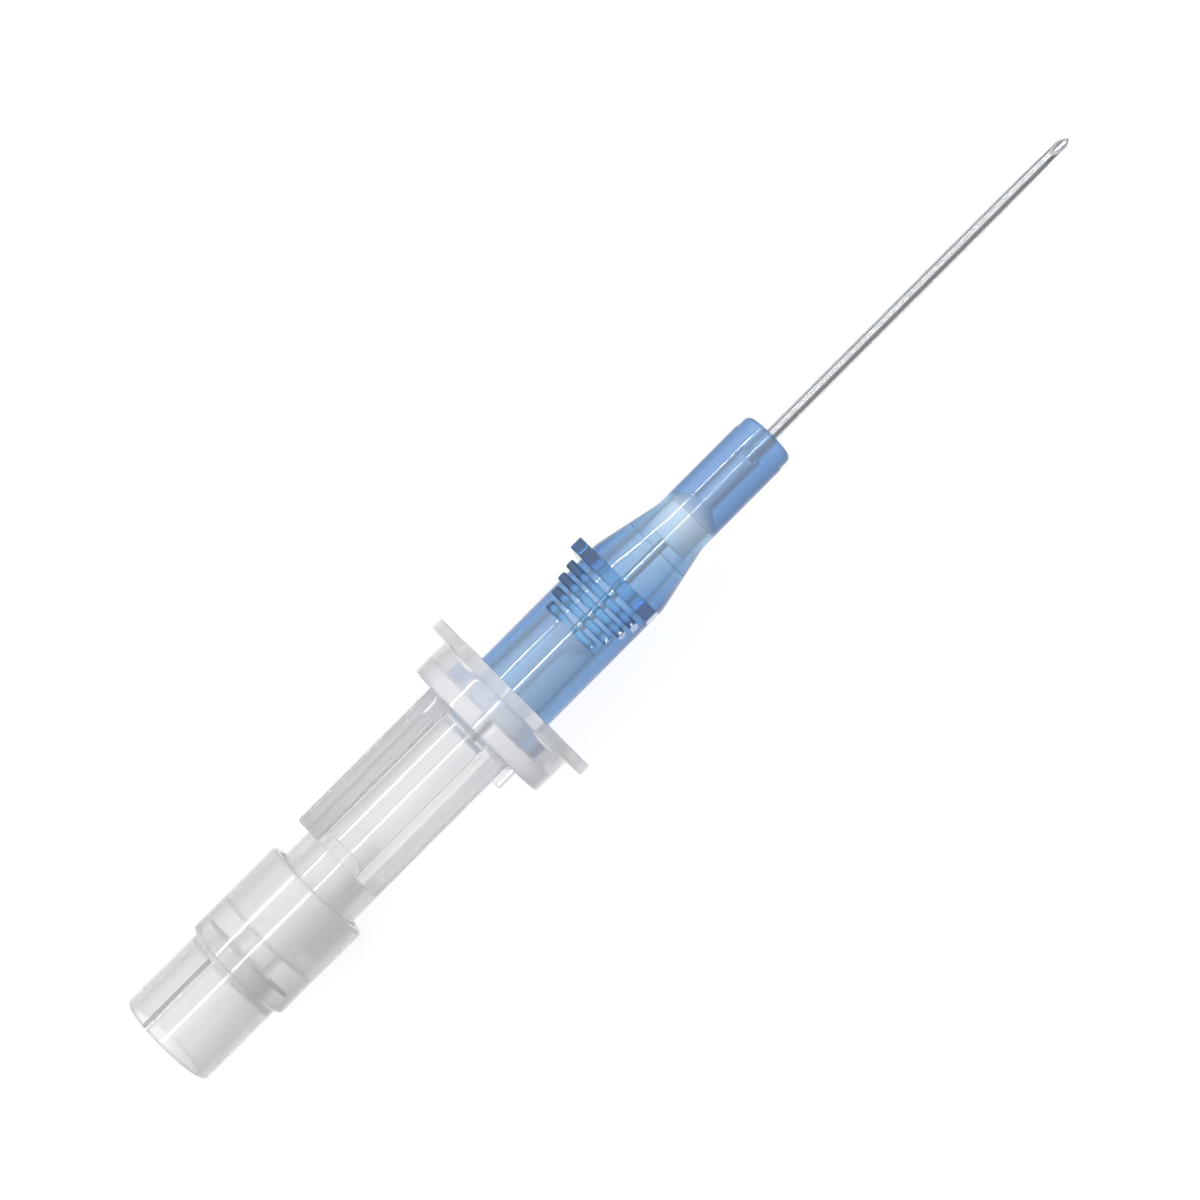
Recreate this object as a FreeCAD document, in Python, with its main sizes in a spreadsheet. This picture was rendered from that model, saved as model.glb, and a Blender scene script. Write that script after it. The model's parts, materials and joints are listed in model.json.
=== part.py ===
# IV cannula with its needle, in its resting pose.
# Lengths are in millimetres. Stations run along the axis from the floor of the needle hub's cup,
# positive towards the needle tip. Heights are from the axis, towards the bevelled side.
import FreeCAD, Part
import math
import os
import re
import Sketcher

doc = FreeCAD.newDocument("iv_cannula")

SIZES = {
    # Needle
    "needle_radius": 0.35,
    "needle_bore_radius": 0.21,
    "needle_tip_reach": 51.9,
    "needle_tail_reach": 2.0,
    "bevel_length": 1.8,
    "lancet_turn": 38,
    "lancet_length": 1.4,
    # Catheter tube
    "tube_radius": 0.45,
    "tube_bore_radius": 0.37,
    "tube_tip_reach": 49.6,
    "tube_tip_radius": 0.39,
    "tube_taper_length": 2.8,
    "tube_flare_radius": 0.6,
    "tube_flare_length": 4.35,
    # Catheter hub
    "luer_slope": 0.03,
    "hub_mouth_radius": 2.15,
    "hub_barrel_radius": 3.0,
    "hub_barrel_reach": 12.45,
    "hub_cone_reach": 17.0,
    "hub_nose_radius": 2.0,
    "hub_tip_reach": 25.1,
    "hub_tip_round": 0.42,
    "hub_cone_round": 3.2,
    # Bore of the catheter hub
    "luer_depth": 14.15,
    "seat_lead_radius": 1.68,
    "seat_lead_reach": 14.75,
    "septum_radius": 1.6,
    "septum_reach": 15.48,
    "septum_length": 2.47,
    "funnel_length": 1.05,
    # Luer lugs
    "lug_root_radius": 2.7,
    "lug_radius": 3.95,
    "lug_length": 1.25,
    "lug_sweep": 50,
    # Push-off tab
    "tab_reach": 10.95,
    "tab_base_thickness": 1.13,
    "tab_top_thickness": 0.9,
    "tab_height": 4.05,
    "tab_half_width": 3.35,
    "tab_shoulder_height": 2.3,
    "tab_foot_half_width": 3.03,
    "tab_root_height": 0.5,
    "tab_round": 0.12,
    # Grip ridges
    "ridge_reach": 10.35,
    "ridge_pitch": 0.9,
    "ridge_thickness": 0.62,
    "ridge_root_height": 0.6,
    "ridge_a_height": 3.4,
    "ridge_a_half_width": 2.85,
    "ridge_b_height": 3.25,
    "ridge_b_half_width": 2.7,
    "ridge_c_height": 3.15,
    "ridge_c_half_width": 2.4,
    "ridge_d_height": 3.08,
    "ridge_d_half_width": 2.0,
    # Septum and ferrule
    "septum_bore_radius": 0.38,
    "ferrule_mouth_radius": 1.15,
    "ferrule_bore_radius": 0.38,
    "ferrule_sleeve_radius": 0.48,
    "ferrule_sleeve_length": 4.0,
    # Needle hub cup and flange
    "hub_seat_gap": 0.05,
    "cup_radius": 5.4,
    "cup_bore_radius": 4.75,
    "cup_floor_thickness": 1.25,
    "cup_chamfer": 0.2,
    "cup_neck_chamfer": 0.45,
    "flange_front_reach": 2.25,
    "flange_thickness": 0.85,
    "flange_radius": 6.65,
    "flange_flat_height": 5.7,
    # Needle hub nose
    "nose_fit_clearance": 0.02,
    "nose_length": 7.5,
    "well_mouth_radius": 1.35,
    "well_floor_radius": 0.55,
    "well_depth": 1.3,
    "glue_fill_depth": 0.45,
    # Flash chamber
    "chamber_length": 18.7,
    "chamber_radius": 3.0,
    "chamber_mouth_radius": 2.12,
    "chamber_luer_depth": 8.5,
    "chamber_end_radius": 1.78,
    "chamber_end_wall": 1.75,
    "chamber_end_cone": 0.3,
    # Finger grip
    "grip_length": 11.7,
    "rail_height": 3.6,
    "rail_inner_half_width": 1.62,
    "rail_outer_half_width": 3.5,
    "rail_inner_root_height": 2.0,
    "rail_root_half_width": 2.6,
    "rail_root_height": 0.5,
    "rail_foot_half_width": 2.985,
    "rail_foot_height": 0.28,
    "rail_round": 0.25,
    "lip_length": 0.9,
    "lip_height": 3.3,
    "lip_root_height": 2.5,
    "lip_corner": 0.45,
    "lip_round": 0.15,
    "gusset_half_width": 3.65,
    "gusset_length": 1.5,
    "gusset_half_height": 0.5,
    # Vent plug
    "plug_seat_gap": 1.2,
    "plug_fit_clearance": 0.02,
    "plug_nose_length": 9.15,
    "plug_nose_bore_radius": 1.15,
    "collar_length": 7.25,
    "collar_depth": 4.5,
    "collar_radius": 3.9,
    "collar_bore_radius": 3.3,
    "collar_chamfer": 0.35,
    "skirt_length": 6.35,
    "skirt_radius": 3.48,
    "skirt_bore_radius": 2.88,
    "skirt_chamfer": 0.3,
    "web_thickness": 3.15,
    "slot_width": 0.4,
    "slot_angle": 18.7,
    # Vent filter
    "filter_radius": 2.3,
    "filter_pocket_depth": 1.5,
    "filter_thickness": 1.4,
}

sheet = doc.addObject("Spreadsheet::Sheet", "Sizes")
for row, (alias, number) in enumerate(SIZES.items(), start=1):
    sheet.set("A%d" % row, alias.replace("_", " "))
    sheet.set("B%d" % row, str(number))
    sheet.setAlias("B%d" % row, alias)
doc.recompute()

# Stations that follow from the sizes
SEPTUM_END = "(septum_reach + septum_length)"
FUNNEL_END = "(septum_reach + septum_length + funnel_length)"
SLEEVE_END = "(septum_reach + septum_length + funnel_length + ferrule_sleeve_length)"
FLARE_END = "(septum_reach + septum_length + funnel_length + tube_flare_length)"
FLANGE_REAR = "(flange_front_reach - flange_thickness)"
CUP_REAR = "(0 - hub_seat_gap - cup_floor_thickness)"
PLUG_FLOOR = "(0 - chamber_length - plug_seat_gap)"
COLLAR_FRONT = "(collar_depth - chamber_length - plug_seat_gap)"
COLLAR_REAR = "(collar_depth - collar_length - chamber_length - plug_seat_gap)"
SKIRT_FLOOR = "(0 - chamber_length - plug_seat_gap - web_thickness)"
SKIRT_REAR = "(collar_depth - collar_length - skirt_length - chamber_length - plug_seat_gap)"

# The cannula rests on the flange's lower flat and on the rim of the skirt, so its nose points up a little
REST_RISE = "(flange_flat_height - skirt_radius)"
REST_ANGLE = "atan(%s / (%s - %s - skirt_chamfer))" % (REST_RISE, FLANGE_REAR, SKIRT_REAR)
REST_HEIGHT = "(flange_flat_height * cos(%s) - %s * sin(%s))" % (REST_ANGLE, FLANGE_REAR, REST_ANGLE)
REST_FRONT = "(needle_tip_reach * cos(%s) + needle_radius * sin(%s))" % (REST_ANGLE, REST_ANGLE)
REST_BACK = "(%s * cos(%s) - (skirt_radius - skirt_chamfer) * sin(%s))" % (
    SKIRT_REAR, REST_ANGLE, REST_ANGLE)


def sized(text):
    return re.sub(r"\b[a-z][a-z0-9]*_\w+", r"Sizes.\g<0>", text)


def measure(text):
    return float(sheet.evalExpression(sized(text)))


def bind(thing, name, text):
    thing.setExpression(name, sized(text))


def new_body(label):
    body = doc.addObject("PartDesign::Body", label)
    body.Label = label
    body.Placement = FreeCAD.Placement(FreeCAD.Vector(0, 0, 1), FreeCAD.Rotation(FreeCAD.Vector(0, -1, 0), 4))
    bind(body, "Placement.Rotation.Angle", REST_ANGLE)
    bind(body, "Placement.Base.x", "0 - (%s + %s) / 2" % (REST_FRONT, REST_BACK))
    bind(body, "Placement.Base.z", REST_HEIGHT)
    return body


def outline(body, role, name, corners, station=None, roll=None, arc=None):
    sketch = body.newObject("Sketcher::SketchObject", name)
    plane = [item for item in body.Origin.OriginFeatures if item.Role == role][0]
    sketch.AttachmentSupport = [(plane, "")]
    sketch.MapMode = "FlatFace"
    if station:
        bind(sketch, "AttachmentOffset.Base.z", station)
    if roll:
        sketch.AttachmentOffset = FreeCAD.Placement(
            FreeCAD.Vector(0, 0, 0), FreeCAD.Rotation(FreeCAD.Vector(-1, 0, 0), 10))
        bind(sketch, "AttachmentOffset.Rotation.Angle", roll)
    rings = corners if isinstance(corners[0], list) else [corners]
    start = 0
    for ring in rings:
        spots = [FreeCAD.Vector(measure(across), measure(up), 0) for across, up in ring]
        count = len(ring)
        for index in range(count):
            here = spots[index]
            there = spots[(index + 1) % count]
            if index == arc:
                circle = Part.Circle((here + there) / 2, FreeCAD.Vector(0, 0, 1), (here - there).Length / 2)
                sketch.addGeometry(Part.ArcOfCircle(circle, 0, math.pi), False)
            else:
                sketch.addGeometry(Part.LineSegment(here, there), False)
        for index in range(count):
            follower = start + (index + 1) % count
            sketch.addConstraint(Sketcher.Constraint("Coincident", start + index, 2, follower, 1))
        for index in range(count):
            for kind, text in zip(("DistanceX", "DistanceY"), ring[index]):
                number = sketch.addConstraint(
                    Sketcher.Constraint(kind, -1, 1, start + index, 1, measure(text)))
                bind(sketch, "Constraints[%d]" % number, text)
            if index == arc:
                number = sketch.addConstraint(
                    Sketcher.Constraint("DistanceY", -1, 1, start + index, 3, measure(ring[index][1])))
                bind(sketch, "Constraints[%d]" % number, ring[index][1])
        start = start + count
    doc.recompute()
    return sketch


def turn(body, name, sketch, kind="Revolution"):
    feature = body.newObject("PartDesign::" + kind, name)
    feature.Profile = sketch
    feature.ReferenceAxis = (sketch, ["H_Axis"])
    feature.Angle = 360
    doc.recompute()
    return feature


def extrude(body, name, sketch, length, kind="Pad", symmetric=False, backwards=False):
    feature = body.newObject("PartDesign::" + kind, name)
    feature.Profile = sketch
    bind(feature, "Length", length)
    if symmetric:
        feature.SideType = "Symmetric"
    feature.Reversed = backwards
    doc.recompute()
    return feature


def rims(body, spots):
    wanted = [(measure(station), measure(radius)) for station, radius in spots]
    names = []
    for index, edge in enumerate(body.Tip.Shape.Edges):
        if not isinstance(edge.Curve, Part.Circle):
            continue
        for station, radius in wanted:
            if abs(edge.Curve.Center.x - station) < 0.002 and abs(edge.Curve.Radius - radius) < 0.002:
                names.append("Edge%d" % (index + 1))
    return names


def straight_edges(body, test):
    names = []
    for index, edge in enumerate(body.Tip.Shape.Edges):
        if isinstance(edge.Curve, Part.Line) and test(edge.valueAt(edge.FirstParameter),
                                                      edge.valueAt(edge.LastParameter)):
            names.append("Edge%d" % (index + 1))
    return names


def dress(body, name, names, size, kind="Fillet"):
    base = body.Tip
    feature = body.newObject("PartDesign::" + kind, name)
    feature.Base = (base, names)
    bind(feature, "Radius" if kind == "Fillet" else "Size", size)
    doc.recompute()
    return feature


def luer_bore(station):
    return "(hub_mouth_radius - luer_slope * (%s))" % station


def chamber_bore(station):
    return "(chamber_mouth_radius - luer_slope * (%s + chamber_length))" % station


def make_needle():
    body = new_body("needle")
    tube = outline(body, "XY_Plane", "NeedleWall", [
        ("0 - needle_tail_reach", "needle_bore_radius"),
        ("needle_tip_reach", "needle_bore_radius"),
        ("needle_tip_reach", "needle_radius"),
        ("0 - needle_tail_reach", "needle_radius"),
    ])
    turn(body, "NeedleTube", tube)
    bevel = outline(body, "XZ_Plane", "BevelCut", [
        ("needle_tip_reach", "0 - needle_radius"),
        ("needle_tip_reach + needle_radius", "0 - needle_radius"),
        ("needle_tip_reach + needle_radius", "2 * needle_radius"),
        ("needle_tip_reach - 1.5 * bevel_length", "2 * needle_radius"),
    ])
    extrude(body, "Bevel", bevel, "4 * needle_radius", "Pocket", symmetric=True)
    # Two lancet faces sharpen the point of the bevel
    point_height = "(0 - needle_radius * cos(lancet_turn))"
    for side, turned in (("Left", "lancet_turn"), ("Right", "0 - lancet_turn")):
        lancet = outline(body, "XZ_Plane", side + "LancetCut", [
            ("needle_tip_reach", point_height),
            ("needle_tip_reach + needle_radius", point_height),
            ("needle_tip_reach + needle_radius", "2 * needle_radius"),
            ("needle_tip_reach - 1.5 * lancet_length", point_height + " + 3 * needle_radius"),
        ], roll=turned)
        extrude(body, side + "Lancet", lancet, "4 * needle_radius", "Pocket", symmetric=True)
    return body


def make_catheter_tube():
    body = new_body("catheter_tube")
    wall = outline(body, "XY_Plane", "TubeWall", [
        (FUNNEL_END, "ferrule_sleeve_radius"),
        (SLEEVE_END, "ferrule_sleeve_radius"),
        (SLEEVE_END, "tube_bore_radius"),
        ("tube_tip_reach", "tube_bore_radius"),
        ("tube_tip_reach", "tube_tip_radius"),
        ("tube_tip_reach - tube_taper_length", "tube_radius"),
        (FLARE_END, "tube_radius"),
        (FLARE_END, "tube_flare_radius"),
        (FUNNEL_END, "tube_flare_radius"),
    ])
    turn(body, "Tube", wall)
    return body


def make_catheter_ferrule():
    body = new_body("catheter_ferrule")
    wall = outline(body, "XY_Plane", "FerruleWall", [
        (SEPTUM_END, "septum_radius"),
        (SEPTUM_END, "ferrule_mouth_radius"),
        (FUNNEL_END, "ferrule_bore_radius"),
        (SLEEVE_END, "ferrule_bore_radius"),
        (SLEEVE_END, "ferrule_sleeve_radius"),
        (FUNNEL_END, "ferrule_sleeve_radius"),
        (FUNNEL_END, "tube_flare_radius"),
    ])
    turn(body, "Ferrule", wall)
    return body


def make_hub_septum():
    body = new_body("hub_septum")
    wall = outline(body, "XY_Plane", "SeptumWall", [
        ("septum_reach", "septum_bore_radius"),
        ("septum_reach", "septum_radius"),
        (SEPTUM_END, "septum_radius"),
        (SEPTUM_END, "septum_bore_radius"),
    ])
    turn(body, "Septum", wall)
    return body


def add_ridge(body, letter, place):
    middle = "(ridge_reach - %d * ridge_pitch)" % place
    crest = "(ridge_%s_height - ridge_thickness / 2)" % letter
    shape = outline(body, "XZ_Plane", "RidgeShape" + letter.upper(), [
        (middle + " - ridge_thickness / 2", "ridge_root_height"),
        (middle + " + ridge_thickness / 2", "ridge_root_height"),
        (middle + " + ridge_thickness / 2", crest),
        (middle + " - ridge_thickness / 2", crest),
    ], arc=2)
    extrude(body, "Ridge" + letter.upper(), shape, "2 * ridge_%s_half_width" % letter, symmetric=True)


def make_catheter_hub():
    body = new_body("catheter_hub")
    outside = outline(body, "XY_Plane", "HubOutside", [
        ("0", "0"),
        ("hub_tip_reach", "0"),
        ("hub_tip_reach", "hub_nose_radius"),
        ("hub_cone_reach", "hub_nose_radius"),
        ("hub_barrel_reach", "hub_barrel_radius"),
        ("0", "hub_barrel_radius"),
    ])
    turn(body, "HubSolid", outside)
    dress(body, "HubTipRound", rims(body, [("hub_tip_reach", "hub_nose_radius")]), "hub_tip_round")
    dress(body, "HubConeRound", rims(body, [
        ("hub_barrel_reach", "hub_barrel_radius"),
        ("hub_cone_reach", "hub_nose_radius"),
    ]), "hub_cone_round")
    # Two luer lugs at the mouth, one on each side
    for side, sign in (("Left", ""), ("Right", "0 - ")):
        lug = outline(body, "XY_Plane", side + "LugShape", [
            ("0", sign + "lug_root_radius"),
            ("lug_length", sign + "lug_root_radius"),
            ("lug_length", sign + "lug_radius"),
            ("0", sign + "lug_radius"),
        ])
        feature = body.newObject("PartDesign::Revolution", side + "Lug")
        feature.Profile = lug
        feature.ReferenceAxis = (lug, ["H_Axis"])
        feature.Midplane = True
        bind(feature, "Angle", "lug_sweep")
        doc.recompute()
    # Push-off tab
    tab = outline(body, "XZ_Plane", "TabShape", [
        ("tab_reach", "tab_root_height"),
        ("tab_reach + tab_base_thickness", "tab_root_height"),
        ("tab_reach + (tab_base_thickness + tab_top_thickness) / 2", "tab_height"),
        ("tab_reach + (tab_base_thickness - tab_top_thickness) / 2", "tab_height"),
    ])
    extrude(body, "Tab", tab, "2 * tab_half_width", symmetric=True)
    corners = []
    for sign in ("", "0 - "):
        corners.append([
            (sign + "tab_half_width", "tab_shoulder_height"),
            (sign + "2 * tab_half_width", "tab_shoulder_height"),
            (sign + "2 * tab_half_width", "0"),
            (sign + "tab_foot_half_width", "0"),
            (sign + "tab_foot_half_width", "tab_root_height"),
        ])
    under = outline(body, "YZ_Plane", "TabUndercut", corners, station="tab_reach - tab_base_thickness / 4")
    extrude(body, "TabCorners", under, "1.5 * tab_base_thickness", "Pocket", backwards=True)
    top = measure("tab_height")
    edges = straight_edges(body, lambda a, b: abs(a.z - top) < 0.002 and abs(b.z - top) < 0.002)
    dress(body, "TabRound", edges, "tab_round")
    for place, letter in enumerate("abcd"):
        add_ridge(body, letter, place)
    # Luer mouth, septum seat, funnel and tube bore
    inside = outline(body, "XY_Plane", "HubInside", [
        ("0", "0"),
        ("0", "hub_mouth_radius"),
        ("luer_depth", luer_bore("luer_depth")),
        ("luer_depth", "seat_lead_radius"),
        ("seat_lead_reach", "seat_lead_radius"),
        ("seat_lead_reach", "septum_radius"),
        (SEPTUM_END, "septum_radius"),
        (FUNNEL_END, "tube_flare_radius"),
        (FLARE_END, "tube_flare_radius"),
        (FLARE_END, "tube_radius"),
        ("hub_tip_reach", "tube_radius"),
        ("hub_tip_reach", "0"),
    ])
    turn(body, "HubBore", inside, "Groove")
    return body


def make_needle_hub():
    body = new_body("needle_hub")
    outside = outline(body, "XY_Plane", "NeedleHubOutside", [
        ("0 - chamber_length", "0"),
        ("nose_length", "0"),
        ("nose_length", luer_bore("nose_length") + " - nose_fit_clearance"),
        ("0 - hub_seat_gap", luer_bore("0 - hub_seat_gap") + " - nose_fit_clearance"),
        ("0 - hub_seat_gap", "cup_bore_radius"),
        ("flange_front_reach", "cup_bore_radius"),
        ("flange_front_reach", "flange_radius"),
        (FLANGE_REAR, "flange_radius"),
        (FLANGE_REAR, "cup_radius"),
        (CUP_REAR + " + cup_chamfer", "cup_radius"),
        (CUP_REAR, "cup_radius - cup_chamfer"),
        (CUP_REAR, "chamber_radius + cup_neck_chamfer"),
        (CUP_REAR + " - cup_neck_chamfer", "chamber_radius"),
        ("0 - chamber_length", "chamber_radius"),
    ])
    turn(body, "NeedleHubSolid", outside)
    # Two flats leave the flange wider than it is high
    flats = []
    for sign in ("", "0 - "):
        flats.append([
            ("0 - 2 * flange_radius", sign + "flange_flat_height"),
            ("2 * flange_radius", sign + "flange_flat_height"),
            ("2 * flange_radius", sign + "2 * flange_radius"),
            ("0 - 2 * flange_radius", sign + "2 * flange_radius"),
        ])
    cut = outline(body, "YZ_Plane", "FlangeFlats", flats, station=FLANGE_REAR + " - flange_thickness")
    extrude(body, "FlangeSides", cut, "3 * flange_thickness", "Pocket", backwards=True)
    # Two rails with a groove between them for the finger
    rear_end = CUP_REAR + " - grip_length"
    rails = []
    for sign in ("", "0 - "):
        rails.append([
            (sign + "rail_inner_half_width", "rail_height"),
            (sign + "rail_outer_half_width", "rail_height"),
            (sign + "rail_foot_half_width", "rail_foot_height"),
            (sign + "rail_root_half_width", "rail_root_height"),
            (sign + "rail_inner_half_width", "rail_inner_root_height"),
        ])
    rail = outline(body, "YZ_Plane", "RailShape", rails, station=rear_end)
    extrude(body, "Rails", rail, "grip_length + cup_floor_thickness / 2")
    top = measure("rail_height")
    rear = measure(rear_end)
    edges = straight_edges(body, lambda a, b: abs(a.z - top) < 0.002 and abs(b.z - top) < 0.002
                           and (abs(a.x - b.x) > 1 or abs(a.x - rear) < 0.002))
    dress(body, "RailRound", edges, "rail_round")
    # A low lip with cut corners closes the rear end of the groove
    lip_front = rear_end + " + lip_length"
    lip = outline(body, "XY_Plane", "LipShape", [
        (rear_end, "0 - rail_inner_half_width"),
        (lip_front + " - lip_corner", "0 - rail_inner_half_width"),
        (lip_front, "lip_corner - rail_inner_half_width"),
        (lip_front, "rail_inner_half_width - lip_corner"),
        (lip_front + " - lip_corner", "rail_inner_half_width"),
        (rear_end, "rail_inner_half_width"),
    ], station="lip_root_height")
    extrude(body, "Lip", lip, "lip_height - lip_root_height")
    crest = measure("lip_height")
    edges = straight_edges(body, lambda a, b: abs(a.z - crest) < 0.002 and abs(b.z - crest) < 0.002
                           and abs(a.y - b.y) > 0.1)
    dress(body, "LipRound", edges, "lip_round")
    gusset = outline(body, "YZ_Plane", "GussetShape", [
        ("0 - gusset_half_width", "0 - gusset_half_height"),
        ("gusset_half_width", "0 - gusset_half_height"),
        ("gusset_half_width", "gusset_half_height"),
        ("0 - gusset_half_width", "gusset_half_height"),
    ], station=CUP_REAR + " - gusset_length")
    extrude(body, "Gussets", gusset, "gusset_length + cup_floor_thickness / 2")
    # Flash chamber, needle bore and glue well
    inside = outline(body, "XY_Plane", "NeedleHubInside", [
        ("0 - chamber_length", "0"),
        ("0 - chamber_length", "chamber_mouth_radius"),
        ("0 - chamber_length + chamber_luer_depth",
         chamber_bore("0 - chamber_length + chamber_luer_depth")),
        ("0 - chamber_length + chamber_luer_depth", "chamber_end_radius"),
        ("0 - chamber_end_wall - chamber_end_cone", "chamber_end_radius"),
        ("0 - chamber_end_wall", "needle_radius"),
        ("nose_length - well_depth", "needle_radius"),
        ("nose_length - well_depth", "well_floor_radius"),
        ("nose_length", "well_mouth_radius"),
        ("nose_length", "0"),
    ])
    turn(body, "NeedleHubBore", inside, "Groove")
    return body


def make_needle_adhesive():
    body = new_body("needle_adhesive")
    surface = "(well_mouth_radius - (well_mouth_radius - well_floor_radius) * glue_fill_depth / well_depth)"
    bead = outline(body, "XY_Plane", "GlueShape", [
        ("nose_length - well_depth", "needle_radius"),
        ("nose_length - glue_fill_depth", "needle_radius"),
        ("nose_length - glue_fill_depth", surface),
        ("nose_length - well_depth", "well_floor_radius"),
    ])
    turn(body, "Glue", bead)
    return body


def make_vent_plug():
    body = new_body("vent_plug")
    nose_tip = PLUG_FLOOR + " + plug_nose_length"
    wall = outline(body, "XY_Plane", "PlugWall", [
        (nose_tip, "plug_nose_bore_radius"),
        (nose_tip, chamber_bore(nose_tip) + " - plug_fit_clearance"),
        (PLUG_FLOOR, chamber_bore(PLUG_FLOOR) + " - plug_fit_clearance"),
        (PLUG_FLOOR, "collar_bore_radius"),
        (COLLAR_FRONT, "collar_bore_radius"),
        (COLLAR_FRONT, "collar_radius - collar_chamfer"),
        (COLLAR_FRONT + " - collar_chamfer", "collar_radius"),
        (COLLAR_REAR, "collar_radius"),
        (COLLAR_REAR, "skirt_radius"),
        (SKIRT_REAR + " + skirt_chamfer", "skirt_radius"),
        (SKIRT_REAR, "skirt_radius - skirt_chamfer"),
        (SKIRT_REAR, "skirt_bore_radius"),
        (SKIRT_FLOOR, "skirt_bore_radius"),
        (SKIRT_FLOOR, "filter_radius"),
        (SKIRT_FLOOR + " + filter_pocket_depth", "filter_radius"),
        (SKIRT_FLOOR + " + filter_pocket_depth", "plug_nose_bore_radius"),
    ])
    turn(body, "PlugSolid", wall)
    # One slot in the skirt lets air past a finger or a table
    slot = outline(body, "XY_Plane", "SlotShape", [
        (SKIRT_REAR + " - slot_width", "0 - slot_width / 2"),
        (SKIRT_FLOOR, "0 - slot_width / 2"),
        (SKIRT_FLOOR, "slot_width / 2"),
        (SKIRT_REAR + " - slot_width", "slot_width / 2"),
    ], roll="slot_angle")
    extrude(body, "Slot", slot, "skirt_radius + slot_width", "Pocket", backwards=True)
    return body


def make_vent_filter():
    body = new_body("vent_filter")
    front = SKIRT_FLOOR + " + filter_pocket_depth"
    disc = outline(body, "XY_Plane", "FilterShape", [
        (front + " - filter_thickness", "0"),
        (front, "0"),
        (front, "filter_radius"),
        (front + " - filter_thickness", "filter_radius"),
    ])
    turn(body, "Filter", disc)
    return body


bodies = [
    make_needle(),
    make_needle_hub(),
    make_needle_adhesive(),
    make_catheter_tube(),
    make_catheter_ferrule(),
    make_hub_septum(),
    make_catheter_hub(),
    make_vent_plug(),
    make_vent_filter(),
]
doc.recompute()

for thing in doc.Objects:
    if "Invalid" in thing.State or "Error" in thing.State:
        raise RuntimeError("%s failed: %s" % (thing.Label, thing.State))

os.makedirs("parts", exist_ok=True)
for body in bodies:
    if body.Shape.isNull() or not body.Shape.isValid():
        raise RuntimeError(body.Label + " has no valid shape")
    if len(body.Shape.Solids) != 1:
        raise RuntimeError("%s has %d solids" % (body.Label, len(body.Shape.Solids)))
    box = body.Shape.BoundBox
    print("%s volume %.3f x %.2f..%.2f y %.2f..%.2f z %.2f..%.2f" % (
        body.Label, body.Shape.Volume, box.XMin, box.XMax, box.YMin, box.YMax, box.ZMin, box.ZMax))
    body.Shape.exportStep("parts/%s.step" % body.Label)
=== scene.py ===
import json
import math

import bmesh
import bpy
from mathutils import Matrix, Vector


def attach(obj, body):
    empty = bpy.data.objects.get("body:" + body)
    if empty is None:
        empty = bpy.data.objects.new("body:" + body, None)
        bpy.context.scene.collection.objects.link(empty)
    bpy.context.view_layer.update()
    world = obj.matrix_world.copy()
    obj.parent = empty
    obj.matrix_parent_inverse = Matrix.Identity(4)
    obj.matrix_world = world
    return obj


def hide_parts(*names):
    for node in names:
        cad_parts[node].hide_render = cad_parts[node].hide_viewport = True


bpy.context.scene.view_settings.view_transform = "Standard"
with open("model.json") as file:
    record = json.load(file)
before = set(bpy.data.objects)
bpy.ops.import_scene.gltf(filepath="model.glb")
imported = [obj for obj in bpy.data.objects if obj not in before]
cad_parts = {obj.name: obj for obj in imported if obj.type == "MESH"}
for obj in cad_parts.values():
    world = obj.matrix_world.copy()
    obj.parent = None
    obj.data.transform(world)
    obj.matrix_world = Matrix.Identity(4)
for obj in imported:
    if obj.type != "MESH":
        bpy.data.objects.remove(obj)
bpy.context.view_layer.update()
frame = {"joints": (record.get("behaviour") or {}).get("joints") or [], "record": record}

# The cannula's own axis. The shapes below are in millimetres: stations run along the axis from
# the blue hub's rear face, positive towards the needle tip, and radii run out from the axis.
# This matrix puts them in the frame's resting pose, in metres.
MM = 0.001
NOSE_MOUNT_STATION = 21.01
axis = Vector(frame["joints"][0]["axis"])
nose_mount = [mount for mount in frame["record"]["mounts"] if mount["name"] == "hub_nose"][0]
hub_rear = Vector(nose_mount["pos_m"]) - axis * (NOSE_MOUNT_STATION * MM)
rise = math.atan2(axis.z, axis.x)
at_rest = Matrix.Translation(hub_rear) @ Matrix.Rotation(-rise, 4, "Y") @ Matrix.Scale(MM, 4)


# NEEDLE HUB
# One clear moulding: the luer nose that holds the catheter hub, the cup round it, the finger
# flange, two grip rails and the open flash chamber, all drafted for the mould.
LUER_SLOPE = 0.03
HUB_MOUTH_RADIUS = 2.15
FIT_CLEARANCE = 0.02
NOSE_LENGTH = 7.5
NEEDLE_RADIUS = 0.35
WELL_FLOOR = 6.2
WELL_FLOOR_RADIUS = 0.55
WELL_MOUTH_RADIUS = 1.35
CUP_FLOOR = -0.05
CUP_REAR = -1.3
CUP_RADIUS = 5.4
CUP_BORE_RADIUS = 4.75
NECK_CHAMFER = 0.45
FLANGE_FRONT = 2.25
FLANGE_REAR = 1.4
FLANGE_RADIUS = 6.65
FLANGE_DRAFT = 0.02
FLAT_HEIGHT = 5.7
CHAMBER_LENGTH = 18.7
CHAMBER_RADIUS = 3.0
CHAMBER_MOUTH_RADIUS = 2.12
CHAMBER_LEAD = 0.2
CHAMBER_LEAD_RADIUS = 2.2
CHAMBER_TAPER_END = -10.2
CHAMBER_END = -1.75
CHAMBER_END_RADIUS = 1.78
CHAMBER_END_CONE = 0.3
CHAMBER_CONE_RADIUS = 0.6
GRIP_REAR = -13.0
GRIP_FRONT = -1.1
RAIL_INNER_SIDE = 1.62
RAIL_OUTER_SIDE = 3.5
RAIL_TOP = 3.6
RAIL_INNER_ROOT = 2.0
RAIL_FOOT_SIDE = 2.985
RAIL_FOOT_HEIGHT = 0.28
RAIL_ROOT_SIDE = 2.6
RAIL_ROOT_HEIGHT = 0.5
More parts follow.
